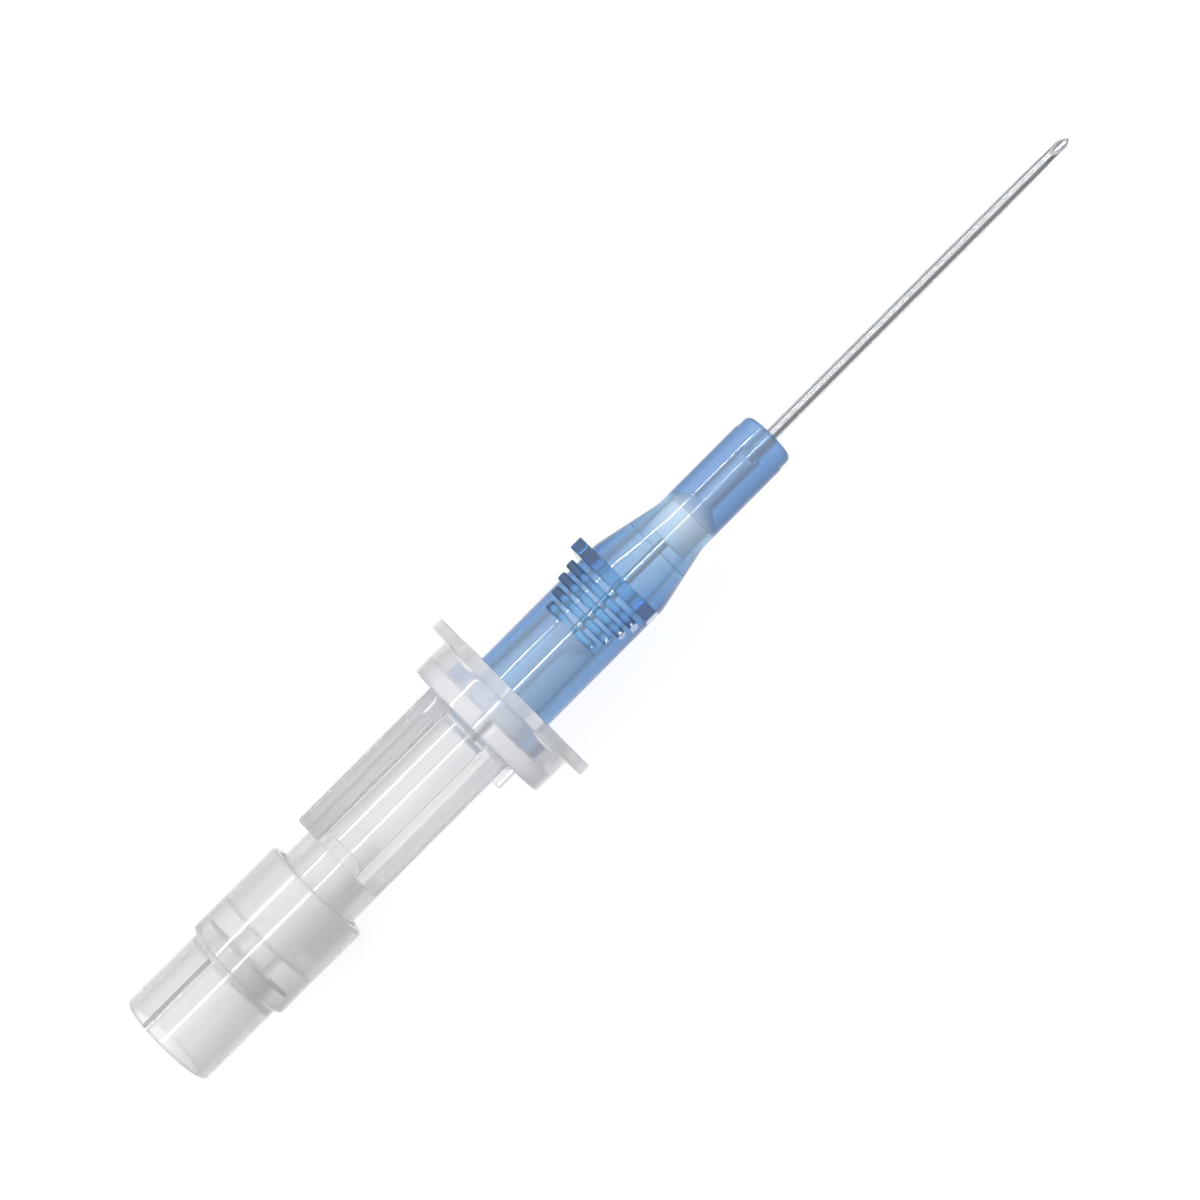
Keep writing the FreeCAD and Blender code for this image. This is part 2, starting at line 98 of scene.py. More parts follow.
RAIL_ROUND = 0.25
LIP_FRONT = -12.1
LIP_CORNER = -12.6
LIP_FRONT_HALF_WIDTH = 1.1
LIP_HALF_WIDTH = 1.75
LIP_UNDERSIDE = 2.6
LIP_TOP = 3.3
GUSSET_REAR = -2.8
GUSSET_HALF_WIDTH = 3.65
GUSSET_HALF_HEIGHT = 0.5


def luer_radius(station):
    """The blue hub's taper, which narrows from its mouth."""
    return HUB_MOUTH_RADIUS - LUER_SLOPE * station


def chamber_radius(station):
    """The flash chamber's taper, which narrows from its open rear end."""
    return CHAMBER_MOUTH_RADIUS - LUER_SLOPE * (station + CHAMBER_LENGTH)


def rounded(corners, steps=5):
    """The closed outline with an arc at every corner that gives a radius as its third number."""
    no_length = 1e-6
    most_of_side = 0.49
    points = []
    for index, corner in enumerate(corners):
        here = Vector(corner[:2])
        radius = corner[2] if len(corner) > 2 else 0.0
        before = Vector(corners[index - 1][:2]) - here
        after = Vector(corners[(index + 1) % len(corners)][:2]) - here
        shorter = min(before.length, after.length)
        if radius == 0.0 or shorter < no_length:
            points.append(here)
            continue
        half = before.angle(after) / 2
        reach = min(radius / math.tan(half), most_of_side * shorter)
        radius = reach * math.tan(half)
        before.normalize()
        after.normalize()
        start = here + before * reach
        end = here + after * reach
        centre = here + (before + after).normalized() * (radius / math.sin(half))
        spoke = start - centre
        last = end - centre
        sweep = math.atan2(spoke.x * last.y - spoke.y * last.x, spoke.dot(last))
        for step in range(steps + 1):
            points.append(centre + Matrix.Rotation(sweep * step / steps, 2) @ spoke)
    return points


def piece_from(name, form):
    """The formed faces as a piece in the scene."""
    mesh = bpy.data.meshes.new(name)
    form.to_mesh(mesh)
    form.free()
    piece = bpy.data.objects.new(name, mesh)
    bpy.context.scene.collection.objects.link(piece)
    return piece


def lathe(name, corners, around=144):
    """A closed profile of (station, radius, corner radius) turned about the cannula's axis."""
    on_axis = 1e-6
    form = bmesh.new()
    rows = []
    for station, radius in rounded(corners):
        if radius < on_axis:
            rows.append([form.verts.new((station, 0, 0))] * around)
            continue
        rows.append([
            form.verts.new((
                station,
                radius * math.cos(2 * math.pi * turn / around),
                radius * math.sin(2 * math.pi * turn / around),
            ))
            for turn in range(around)
        ])
    for index, row in enumerate(rows):
        follower = rows[(index + 1) % len(rows)]
        for turn in range(around):
            beside = (turn + 1) % around
            face = []
            for vertex in (row[turn], row[beside], follower[beside], follower[turn]):
                if vertex not in face:
                    face.append(vertex)
            if len(face) > 2:
                form.faces.new(face)
    bmesh.ops.recalc_face_normals(form, faces=form.faces)
    return piece_from(name, form)


def prism(name, outline, direction, low, high, edge=0.0):
    """A flat outline pushed along X, Y or Z from low to high, with its sharp edges rounded."""
    sharp_angle = 0.6
    place = {
        "X": lambda a, b, along: (along, a, b),
        "Y": lambda a, b, along: (a, along, b),
        "Z": lambda a, b, along: (a, b, along),
    }[direction]
    form = bmesh.new()
    points = rounded(outline)
    near = [form.verts.new(place(a, b, low)) for a, b in points]
    far = [form.verts.new(place(a, b, high)) for a, b in points]
    form.faces.new(near)
    form.faces.new(far)
    for index in range(len(points)):
        beside = (index + 1) % len(points)
        form.faces.new((near[index], near[beside], far[beside], far[index]))
    bmesh.ops.recalc_face_normals(form, faces=form.faces)
    if edge:
        sharp = [line for line in form.edges if line.calc_face_angle(0) > sharp_angle]
        bmesh.ops.bevel(form, geom=sharp, offset=edge, segments=4, profile=0.5, affect="EDGES",
                        clamp_overlap=True)
    return piece_from(name, form)


def combine(piece, others, operation):
    """Joins the other solids to the piece, or cuts them from it, and removes them."""
    for other in others:
        step = piece.modifiers.new("cut", "BOOLEAN")
        step.operation = operation
        step.solver = "EXACT"
        step.object = other
        bpy.context.view_layer.update()
        depsgraph = bpy.context.evaluated_depsgraph_get()
        result = bpy.data.meshes.new_from_object(piece.evaluated_get(depsgraph))
        piece.modifiers.remove(step)
        old = piece.data
        piece.data = result
        bpy.data.meshes.remove(old)
        bpy.data.objects.remove(other)


def seat(piece, body, node, material, crease=32):
    """Puts a finished piece at its place in the frame, in place of its plain solid.
    Edges that turn by more than the crease, in degrees, are shaded sharp."""
    mesh = piece.data
    mesh.transform(at_rest)
    mesh.materials.clear()
    mesh.materials.append(material)
    for face in mesh.polygons:
        face.use_smooth = True
    mesh.set_sharp_from_angle(angle=math.radians(crease))
    weigh = piece.modifiers.new("even_shading", "WEIGHTED_NORMAL")
    weigh.keep_sharp = True
    weigh.weight = 80
    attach(piece, body)
    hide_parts(node)


def calculated(tree, operation, *values):
    """The result of a Math node on numbers and other nodes' results."""
    node = tree.nodes.new("ShaderNodeMath")
    node.operation = operation
    for socket, value in zip(node.inputs, values):
        if isinstance(value, bpy.types.NodeSocket):
            tree.links.new(value, socket)
        else:
            socket.default_value = value
    return node.outputs[0]


def moulded_skin():
    """Shader group: the faint waviness and uneven gloss that a mould leaves on plastic."""
    group = bpy.data.node_groups.new("moulded_skin", "ShaderNodeTree")
    socket = group.interface.new_socket
    for label, number in (("Gloss", 0.1), ("Unevenness", 0.06), ("Ripple Size", 900.0)):
        setting = socket(name=label, in_out="INPUT", socket_type="NodeSocketFloat")
        setting.default_value = number
    socket(name="Roughness", in_out="OUTPUT", socket_type="NodeSocketFloat")
    socket(name="Height", in_out="OUTPUT", socket_type="NodeSocketFloat")
    nodes, links = group.nodes, group.links
    given = nodes.new("NodeGroupInput")
    result = nodes.new("NodeGroupOutput")
    place = nodes.new("ShaderNodeTexCoord")
    ripple = nodes.new("ShaderNodeTexNoise")
    ripple.inputs["Detail"].default_value = 3.0
    links.new(place.outputs["Object"], ripple.inputs["Vector"])
    links.new(given.outputs["Ripple Size"], ripple.inputs["Scale"])
    uneven = calculated(group, "MULTIPLY_ADD", ripple.outputs["Fac"],
                        given.outputs["Unevenness"], given.outputs["Gloss"])
    links.new(uneven, result.inputs["Roughness"])
    links.new(ripple.outputs["Fac"], result.inputs["Height"])
    return group


SKIN = moulded_skin()


def plastic(name, colour, see_through, refraction, gloss, unevenness, ripple_size, ripple_height,
            lets_by, absorbs=None, density=0.0):
    """A moulded plastic: light passes through, tinted by its thickness where it absorbs.
    The ripple's height is in metres."""
    material = bpy.data.materials.new(name)
    material.use_nodes = True
    tree = material.node_tree
    nodes, links = tree.nodes, tree.links
    shader = nodes["Principled BSDF"]
    shader.inputs["Base Color"].default_value = (*colour, 1)
    shader.inputs["Transmission Weight"].default_value = see_through
    shader.inputs["IOR"].default_value = refraction
    shader.inputs["Coat Weight"].default_value = 0.3
    shader.inputs["Coat Roughness"].default_value = 0.03
    skin = nodes.new("ShaderNodeGroup")
    skin.node_tree = SKIN
    skin.inputs["Gloss"].default_value = gloss
    skin.inputs["Unevenness"].default_value = unevenness
    skin.inputs["Ripple Size"].default_value = ripple_size
    links.new(skin.outputs["Roughness"], shader.inputs["Roughness"])
    bump = nodes.new("ShaderNodeBump")
    bump.inputs["Strength"].default_value = 1.0
    bump.inputs["Distance"].default_value = ripple_height
    links.new(skin.outputs["Height"], bump.inputs["Height"])
    links.new(bump.outputs["Normal"], shader.inputs["Normal"])
    # The lamps' light reaches what lies inside the plastic and the table behind it
    rays = nodes.new("ShaderNodeLightPath")
    lighting = calculated(tree, "MAXIMUM", rays.outputs["Is Shadow Ray"],
                          rays.outputs["Is Diffuse Ray"])
    passing = nodes.new("ShaderNodeBsdfTransparent")
    passing.inputs["Color"].default_value = (*lets_by, 1)
    either = nodes.new("ShaderNodeMixShader")
    links.new(lighting, either.inputs["Fac"])
    links.new(shader.outputs["BSDF"], either.inputs[1])
    links.new(passing.outputs["BSDF"], either.inputs[2])
    links.new(either.outputs["Shader"], nodes["Material Output"].inputs["Surface"])
    if absorbs:
        volume = nodes.new("ShaderNodeVolumeAbsorption")
        volume.inputs["Color"].default_value = (*absorbs, 1)
        volume.inputs["Density"].default_value = density
        links.new(volume.outputs["Volume"], nodes["Material Output"].inputs["Volume"])
    return material


needle_hub = lathe("needle_hub_clear", [
    (-CHAMBER_LENGTH, 0),
    (NOSE_LENGTH, 0),
    (NOSE_LENGTH, luer_radius(NOSE_LENGTH) - FIT_CLEARANCE, 0.12),
    (CUP_FLOOR, luer_radius(CUP_FLOOR) - FIT_CLEARANCE, 0.15),
    (CUP_FLOOR, CUP_BORE_RADIUS, 0.15),
    (FLANGE_FRONT, CUP_BORE_RADIUS, 0.08),
    (FLANGE_FRONT, FLANGE_RADIUS, 0.12),
    (FLANGE_REAR + FLANGE_DRAFT, FLANGE_RADIUS, 0.12),
    (FLANGE_REAR, CUP_RADIUS, 0.35),
    (CUP_REAR, CUP_RADIUS, 0.2),
    (CUP_REAR, CHAMBER_RADIUS + NECK_CHAMFER, 0.1),
    (CUP_REAR - NECK_CHAMFER, CHAMBER_RADIUS, 0.25),
    (-CHAMBER_LENGTH, CHAMBER_RADIUS, 0.15),
])
grip_parts = []
for side in (-1, 1):
    grip_parts.append(prism("rail", [
        (side * RAIL_INNER_SIDE, RAIL_TOP, RAIL_ROUND),
        (side * RAIL_OUTER_SIDE, RAIL_TOP, RAIL_ROUND),
        (side * RAIL_FOOT_SIDE, RAIL_FOOT_HEIGHT),
        (side * RAIL_ROOT_SIDE, RAIL_ROOT_HEIGHT),
        (side * RAIL_INNER_SIDE, RAIL_INNER_ROOT),
    ], "X", GRIP_REAR, GRIP_FRONT, edge=0.2))
# A lip flush with the rails' rear faces is lost when they are joined, so it stops just short
LIP_REAR = GRIP_REAR + 0.02
grip_parts.append(prism("lip", [
    (LIP_REAR, -LIP_HALF_WIDTH),
    (LIP_CORNER, -LIP_HALF_WIDTH),
    (LIP_FRONT, -LIP_FRONT_HALF_WIDTH, 0.3),
    (LIP_FRONT, LIP_FRONT_HALF_WIDTH, 0.3),
    (LIP_CORNER, LIP_HALF_WIDTH),
    (LIP_REAR, LIP_HALF_WIDTH),
], "Z", LIP_UNDERSIDE, LIP_TOP, edge=0.1))
grip_parts.append(prism("gussets", [
    (-GUSSET_HALF_WIDTH, -GUSSET_HALF_HEIGHT),
    (GUSSET_HALF_WIDTH, -GUSSET_HALF_HEIGHT),
    (GUSSET_HALF_WIDTH, GUSSET_HALF_HEIGHT),
    (-GUSSET_HALF_WIDTH, GUSSET_HALF_HEIGHT),
], "X", GUSSET_REAR, GRIP_FRONT, edge=0.08))
combine(needle_hub, grip_parts, "UNION")

# The cutters, here and below, reach past the moulding on their free sides
hub_cuts = []
for low, high in ((FLAT_HEIGHT, FLAT_HEIGHT + 2), (-FLAT_HEIGHT - 2, -FLAT_HEIGHT)):
    hub_cuts.append(prism("flat", [(-8, low), (8, low), (8, high), (-8, high)], "X", 0.5, 3.5))
hub_cuts.append(lathe("hub_bore", [
    (-CHAMBER_LENGTH - 0.8, 0),
    (-CHAMBER_LENGTH - 0.8, 2.35),
    (-CHAMBER_LENGTH - CHAMBER_LEAD, 2.35),
    (-CHAMBER_LENGTH, CHAMBER_LEAD_RADIUS),
    (-CHAMBER_LENGTH + CHAMBER_LEAD, chamber_radius(-CHAMBER_LENGTH + CHAMBER_LEAD)),
    (CHAMBER_TAPER_END, chamber_radius(CHAMBER_TAPER_END)),
    (CHAMBER_TAPER_END + 0.05, CHAMBER_END_RADIUS, 0.04),
    (CHAMBER_END - CHAMBER_END_CONE, CHAMBER_END_RADIUS, 0.25),
    (CHAMBER_END, CHAMBER_CONE_RADIUS, 0.2),
    (CHAMBER_END, NEEDLE_RADIUS),
    (WELL_FLOOR, NEEDLE_RADIUS),
    (WELL_FLOOR, WELL_FLOOR_RADIUS, 0.1),
    (NOSE_LENGTH, WELL_MOUTH_RADIUS),
    (NOSE_LENGTH + 0.4, 1.6),
    (NOSE_LENGTH + 0.4, 0),
]))
combine(needle_hub, hub_cuts, "DIFFERENCE")
clear_plastic = plastic(
    "clear_plastic", colour=(0.97, 0.973, 0.977), see_through=0.7, refraction=1.49, gloss=0.05,
    unevenness=0.08, ripple_size=700.0, ripple_height=0.000004, lets_by=(0.94, 0.94, 0.94),
    absorbs=(0.5, 0.51, 0.53), density=20.0)
seat(needle_hub, "needle_assembly", "needle_hub", clear_plastic)

# NEEDLE
# Drawn stainless tube, 0.7 mm across, ground to one long bevel with two short side facets that
# meet in the point. It is glued into the needle hub's nose and opens into the flash chamber.
NEEDLE_BORE_RADIUS = 0.21
NEEDLE_TIP = 51.9
NEEDLE_TAIL = -2.0
BEVEL_SLANT = 1.8 / (2 * NEEDLE_RADIUS)
FACET_TURN = 50
FACET_SLANT = 5 / 3
FACET_POINT = -0.225
GRINDER_HALF_WIDTH = 0.8
PAST_TIP = NEEDLE_TIP + 0.5


def ground_away(name, point, top, slant):
    """What a grinder takes off above a slant that starts at the needle's tip, at point height."""
    return prism(name, [
        (NEEDLE_TIP, point),
        (PAST_TIP, point),
        (PAST_TIP, top),
        (NEEDLE_TIP - slant * (top - point), top),
    ], "Y", -GRINDER_HALF_WIDTH, GRINDER_HALF_WIDTH)


def spread(tree, value, low, high, out_low, out_high, ease="LINEAR"):
    """A node's result, from low to high, spread over the range from out_low to out_high."""
    node = tree.nodes.new("ShaderNodeMapRange")
    node.interpolation_type = ease
    tree.links.new(value, node.inputs["Value"])
    node.inputs["From Min"].default_value = low
    node.inputs["From Max"].default_value = high
    node.inputs["To Min"].default_value = out_low
    node.inputs["To Max"].default_value = out_high
    return node.outputs["Result"]


def steel(name, colour, gloss, unevenness, grain_across, grain_along):
    """Drawn steel: long fine draw marks along the tube change its gloss."""
    material = bpy.data.materials.new(name)
    material.use_nodes = True
    tree = material.node_tree
    nodes, links = tree.nodes, tree.links
    shader = nodes["Principled BSDF"]
    shader.inputs["Base Color"].default_value = (*colour, 1)
    shader.inputs["Metallic"].default_value = 1.0
    place = nodes.new("ShaderNodeTexCoord")
    stretch = nodes.new("ShaderNodeMapping")
    stretch.inputs["Scale"].default_value = (grain_along, grain_across, grain_across)
    stretch.inputs["Rotation"].default_value = (0, rise, 0)
    marks = nodes.new("ShaderNodeTexNoise")
    marks.inputs["Scale"].default_value = 1.0
    marks.inputs["Detail"].default_value = 4.0
    links.new(place.outputs["Object"], stretch.inputs["Vector"])
    links.new(stretch.outputs["Vector"], marks.inputs["Vector"])
    uneven = spread(tree, marks.outputs["Fac"], low=0.0, high=1.0, out_low=gloss,
                    out_high=gloss + unevenness)
    links.new(uneven, shader.inputs["Roughness"])
    bump = nodes.new("ShaderNodeBump")
    bump.inputs["Strength"].default_value = 0.4
    bump.inputs["Distance"].default_value = 0.000003
    links.new(marks.outputs["Fac"], bump.inputs["Height"])
    links.new(bump.outputs["Normal"], shader.inputs["Normal"])
    return material


needle = lathe("needle_steel_tube", [
    (NEEDLE_TAIL, NEEDLE_BORE_RADIUS),
    (NEEDLE_TIP, NEEDLE_BORE_RADIUS),
    (NEEDLE_TIP, NEEDLE_RADIUS),
    (NEEDLE_TAIL, NEEDLE_RADIUS, 0.03),
], around=64)
grindings = [ground_away("bevel", -NEEDLE_RADIUS, 0.7, BEVEL_SLANT)]
for turn in (-FACET_TURN, FACET_TURN):
    facet = ground_away("side_facet", FACET_POINT, 0.9, FACET_SLANT)
    facet.data.transform(Matrix.Rotation(math.radians(turn), 4, "X"))
    grindings.append(facet)
combine(needle, grindings, "DIFFERENCE")
needle_steel = steel("needle_steel", colour=(0.6, 0.61, 0.62), gloss=0.12, unevenness=0.1,
                     grain_across=9000.0, grain_along=40.0)
seat(needle, "needle_assembly", "needle", needle_steel, crease=25)

# NEEDLE ADHESIVE
# Clear glue that fills the well in the nose and creeps up the needle before it sets. It holds
# the needle in its hub.
GLUE_CREEP_END = 7.4
GLUE_CREEP_FOOT = 7.22
GLUE_CREEP_FOOT_RADIUS = 0.45
GLUE_DIP = 7.05
GLUE_DIP_RADIUS = 0.75
GLUE_EDGE = 7.1
GLUE_EDGE_RADIUS = 1.08
glue = lathe("needle_glue", [
    (WELL_FLOOR, NEEDLE_RADIUS),
    (GLUE_CREEP_END, NEEDLE_RADIUS),
    (GLUE_CREEP_FOOT, GLUE_CREEP_FOOT_RADIUS, 0.2),
    (GLUE_DIP, GLUE_DIP_RADIUS, 0.3),
    (GLUE_EDGE, GLUE_EDGE_RADIUS),
    (WELL_FLOOR, WELL_FLOOR_RADIUS),
], around=64)
clear_glue = plastic(
    "clear_glue", colour=(0.97, 0.975, 0.98), see_through=0.35, refraction=1.45, gloss=0.12,
    unevenness=0.1, ripple_size=1500.0, ripple_height=0.00001, lets_by=(0.95, 0.95, 0.95))
seat(glue, "needle_assembly", "needle_adhesive", clear_glue)

# CATHETER TUBE
# Thin flexible fluoropolymer tube, 0.9 mm across. It is flared over the ferrule inside the hub
# and drawn down at the front to a thin edge that hugs the needle.
TUBE_RADIUS = 0.45
TUBE_BORE_RADIUS = 0.37
TUBE_TIP = 49.6
TUBE_TIP_RADIUS = 0.39
TUBE_TAPER_START = 46.8
FUNNEL_END = 19.0
SLEEVE_END = 23.0
SLEEVE_RADIUS = 0.48
FLARE_END = 23.35
FLARE_RADIUS = 0.6
tube = lathe("catheter_tube_sleeve", [
    (FUNNEL_END, SLEEVE_RADIUS),
    (SLEEVE_END, SLEEVE_RADIUS),
    (SLEEVE_END, TUBE_BORE_RADIUS),
    (TUBE_TIP, TUBE_BORE_RADIUS),
    (TUBE_TIP, TUBE_TIP_RADIUS, 0.01),
    (TUBE_TAPER_START, TUBE_RADIUS, 4.0),
    (FLARE_END, TUBE_RADIUS),
    (FLARE_END, FLARE_RADIUS),
    (FUNNEL_END, FLARE_RADIUS),
], around=64)
tube_plastic = plastic(
    "tube_plastic", colour=(0.95, 0.955, 0.96), see_through=0.93, refraction=1.34, gloss=0.05,
    unevenness=0.08, ripple_size=900.0, ripple_height=0.000002, lets_by=(0.95, 0.95, 0.95))
seat(tube, "catheter", "catheter_tube", tube_plastic)

# FERRULE
# A small drawn funnel and sleeve that wedges the flared end of the tube into the hub's nose. It
# bites a hundredth of a millimetre into the plastic round it.
BITE = 0.01
SEPTUM_END = 17.95
SEPTUM_SEAT_RADIUS = 1.6
FERRULE_MOUTH_RADIUS = 1.15
FERRULE_BORE_RADIUS = 0.38
ferrule = lathe("ferrule_wedge", [
    (SEPTUM_END, SEPTUM_SEAT_RADIUS + BITE),
    (SEPTUM_END, FERRULE_MOUTH_RADIUS, 0.05),
    (FUNNEL_END, FERRULE_BORE_RADIUS, 0.3),
    (SLEEVE_END, FERRULE_BORE_RADIUS),
    (SLEEVE_END, SLEEVE_RADIUS),
    (FUNNEL_END + BITE, SLEEVE_RADIUS),
    (FUNNEL_END + BITE, FLARE_RADIUS + BITE),
], around=64)
ferrule_white = plastic(
    "ferrule_white", colour=(0.95, 0.955, 0.97), see_through=0.15, refraction=1.5, gloss=0.25,
    unevenness=0.1, ripple_size=1200.0, ripple_height=0.000004, lets_by=(0.85, 0.85, 0.85))
seat(ferrule, "catheter", "catheter_ferrule", ferrule_white)

# SEPTUM
# Opaque white plug of soft moulded rubber in the hub's cone, held there by the ferrule in front
# of it. The needle passes through its middle.
SEPTUM_REAR = 15.48
SEPTUM_RADIUS = 1.56
SEPTUM_BORE_RADIUS = 0.38
septum = lathe("septum_plug", [
    (SEPTUM_REAR, SEPTUM_BORE_RADIUS, 0.1),
    (SEPTUM_REAR, SEPTUM_RADIUS, 0.25),
    (SEPTUM_END, SEPTUM_RADIUS, 0.15),
    (SEPTUM_END, SEPTUM_BORE_RADIUS),
], around=96)
septum_rubber = bpy.data.materials.new("septum_rubber")
septum_rubber.use_nodes = True
tree = septum_rubber.node_tree
shader = tree.nodes["Principled BSDF"]
shader.inputs["Base Color"].default_value = (0.96, 0.96, 0.96, 1)
shader.inputs["Subsurface Weight"].default_value = 0.3
shader.inputs["Subsurface Scale"].default_value = 0.0006
dust = tree.nodes.new("ShaderNodeTexNoise")
dust.inputs["Scale"].default_value = 2500.0
soft = spread(tree, dust.outputs["Fac"], low=0.0, high=1.0, out_low=0.45, out_high=0.65)
tree.links.new(soft, shader.inputs["Roughness"])
seat(septum, "catheter", "hub_septum", septum_rubber)

# CATHETER HUB
# One blue translucent moulding: luer mouth with two lugs, barrel, four finger ridges, the
# push-off tab, a smooth cone and the nose that carries the tube.
BARREL_RADIUS = 3.0
BARREL_END = 12.45
CONE_END = 17.0
CONE_ROUND = 3.2
HUB_NOSE_RADIUS = 2.0
HUB_TIP_RADIUS = 1.93
HUB_TIP = 25.1
TIP_STEP_REAR = 23.95
TIP_STEP_FRONT = 24.2
MOUTH_LEAD = 0.15
MOUTH_LEAD_RADIUS = 2.26
LUER_DEPTH = 14.15
SEAT_LEAD_RADIUS = 1.68
SEAT_LEAD_END = 14.75
LUG_LENGTH = 1.25
LUG_ROOT_RADIUS = 2.7
LUG_RADIUS = 3.95
LUG_HALF_SWEEP = 25
TAB_REAR = 10.95
TAB_FRONT = 12.08
TAB_DRAFT = 0.115
TAB_HEIGHT = 4.05
TAB_ROOT_HEIGHT = 0.5
TAB_ROUND = 0.14
TAB_HALF_WIDTH = 3.35
TAB_SHOULDER_HEIGHT = 2.3
TAB_FOOT_HALF_WIDTH = 3.03
TAB_CUT_MARGIN = 0.28
# Station, height and half width of each ridge
RIDGES = [(10.35, 3.4, 2.85), (9.45, 3.25, 2.7), (8.55, 3.15, 2.4), (7.65, 3.08, 2.0)]
RIDGE_HALF_THICKNESS = 0.31
RIDGE_ROOT_HEIGHT = 0.6
RIDGE_ROUND = 0.28


def arc(radius, turns):
    """Points on a circle about the axis, at these turns in degrees."""
    return [(radius * math.cos(math.radians(turn)), radius * math.sin(math.radians(turn)))
            for turn in turns]


def two_tone(tree, value, start, start_colour, end, end_colour):
    """A colour that goes from one to the other as a node's result goes from start to end."""
    node = tree.nodes.new("ShaderNodeValToRGB")
    first, last = node.color_ramp.elements
    first.position = start
    first.color = (*start_colour, 1)
    last.position = end
    last.color = (*end_colour, 1)
    tree.links.new(value, node.inputs["Fac"])
    return node.outputs["Color"]


blue_hub = lathe("catheter_hub_blue", [
    (0, 0),
    (HUB_TIP, 0),
    (HUB_TIP, HUB_TIP_RADIUS, 0.45),
    (TIP_STEP_FRONT, HUB_TIP_RADIUS, 0.3),
    (TIP_STEP_REAR, HUB_NOSE_RADIUS, 0.3),
    (CONE_END, HUB_NOSE_RADIUS, CONE_ROUND),
    (BARREL_END, BARREL_RADIUS, CONE_ROUND),
    (0, BARREL_RADIUS, 0.12),
])
raised = []
for side in (-1, 1):
    lug_outline = arc(LUG_ROOT_RADIUS, range(LUG_HALF_SWEEP, -LUG_HALF_SWEEP - 1, -5))
    lug_outline += arc(LUG_RADIUS, range(-LUG_HALF_SWEEP, LUG_HALF_SWEEP + 1, 2))
    raised.append(prism("lug", [(side * across, up) for across, up in lug_outline], "X",
                        0.0, LUG_LENGTH, edge=0.1))
raised.append(prism("tab", [
    (TAB_REAR, TAB_ROOT_HEIGHT),
    (TAB_FRONT, TAB_ROOT_HEIGHT),
    (TAB_FRONT - TAB_DRAFT, TAB_HEIGHT, TAB_ROUND),
    (TAB_REAR + TAB_DRAFT, TAB_HEIGHT, TAB_ROUND),
], "Y", -TAB_HALF_WIDTH, TAB_HALF_WIDTH, edge=0.06))
for station, height, half_width in RIDGES:
    raised.append(prism("ridge", [
        (station - RIDGE_HALF_THICKNESS, RIDGE_ROOT_HEIGHT),
        (station + RIDGE_HALF_THICKNESS, RIDGE_ROOT_HEIGHT),
        (station + RIDGE_HALF_THICKNESS, height, RIDGE_ROUND),
        (station - RIDGE_HALF_THICKNESS, height, RIDGE_ROUND),
    ], "Y", -half_width, half_width, edge=0.08))
combine(blue_hub, raised, "UNION")
blue_cuts = []
for side in (-1, 1):
    blue_cuts.append(prism("tab_cut", [
        (side * TAB_HALF_WIDTH, TAB_SHOULDER_HEIGHT),
        (side * 6, TAB_SHOULDER_HEIGHT),
        (side * 6, 0),
        (side * TAB_FOOT_HALF_WIDTH, 0),
        (side * TAB_FOOT_HALF_WIDTH, TAB_ROOT_HEIGHT),
    ], "X", TAB_REAR - TAB_CUT_MARGIN, TAB_FRONT + TAB_CUT_MARGIN))
blue_cuts.append(lathe("hub_inside", [
    (-1, 0),
    (-1, 2.3),
    (-0.1, MOUTH_LEAD_RADIUS),
    (MOUTH_LEAD, luer_radius(MOUTH_LEAD)),
    (LUER_DEPTH, luer_radius(LUER_DEPTH)),
    (LUER_DEPTH, SEAT_LEAD_RADIUS, 0.02),
    (SEAT_LEAD_END, SEAT_LEAD_RADIUS, 0.05),
    (SEAT_LEAD_END + 0.05, SEPTUM_SEAT_RADIUS),
    (SEPTUM_END, SEPTUM_SEAT_RADIUS),
    (FUNNEL_END, FLARE_RADIUS, 0.1),
    (FLARE_END, FLARE_RADIUS),
    (FLARE_END, TUBE_RADIUS),
    (HUB_TIP + 0.4, TUBE_RADIUS),
    (HUB_TIP + 0.4, 0),
]))
combine(blue_hub, blue_cuts, "DIFFERENCE")
blue_plastic = plastic(
    "blue_plastic", colour=(0.9, 0.96, 0.99), see_through=0.86, refraction=1.5, gloss=0.03,
    unevenness=0.04, ripple_size=600.0, ripple_height=0.000003, lets_by=(0.97, 0.98, 1.0),
    absorbs=(0.09, 0.48, 0.82), density=520.0)
# Seen at a slant the wall is deeper and more of its colour shows
tree = blue_plastic.node_tree
nodes, links = tree.nodes, tree.links
slant = nodes.new("ShaderNodeLayerWeight")
slant.inputs["Blend"].default_value = 0.4
wall_colour = two_tone(tree, slant.outputs["Facing"], start=0.15, start_colour=(0.9, 0.97, 1.0),
                       end=0.75, end_colour=(0.3, 0.64, 0.94))
# Painted light: the lugs, the ridges and the tab stand clear of the barrel and take light from
# all sides, so a lighter blue is painted into their colour to stand in for that light
place = nodes.new("ShaderNodeTexCoord")
from_hub_rear = nodes.new("ShaderNodeVectorMath")
from_hub_rear.operation = "SUBTRACT"
from_hub_rear.inputs[1].default_value = hub_rear
links.new(place.outputs["Object"], from_hub_rear.inputs[0])
square_to_axis = nodes.new("ShaderNodeVectorMath")
square_to_axis.operation = "CROSS_PRODUCT"
square_to_axis.inputs[1].default_value = axis
links.new(from_hub_rear.outputs["Vector"], square_to_axis.inputs[0])
from_axis = nodes.new("ShaderNodeVectorMath")
from_axis.operation = "LENGTH"
links.new(square_to_axis.outputs["Vector"], from_axis.inputs[0])
painted_light_mask = spread(tree, from_axis.outputs["Value"], low=(BARREL_RADIUS + 0.03) * MM,
                    high=(BARREL_RADIUS + 0.1) * MM, out_low=0.0, out_high=1.0)
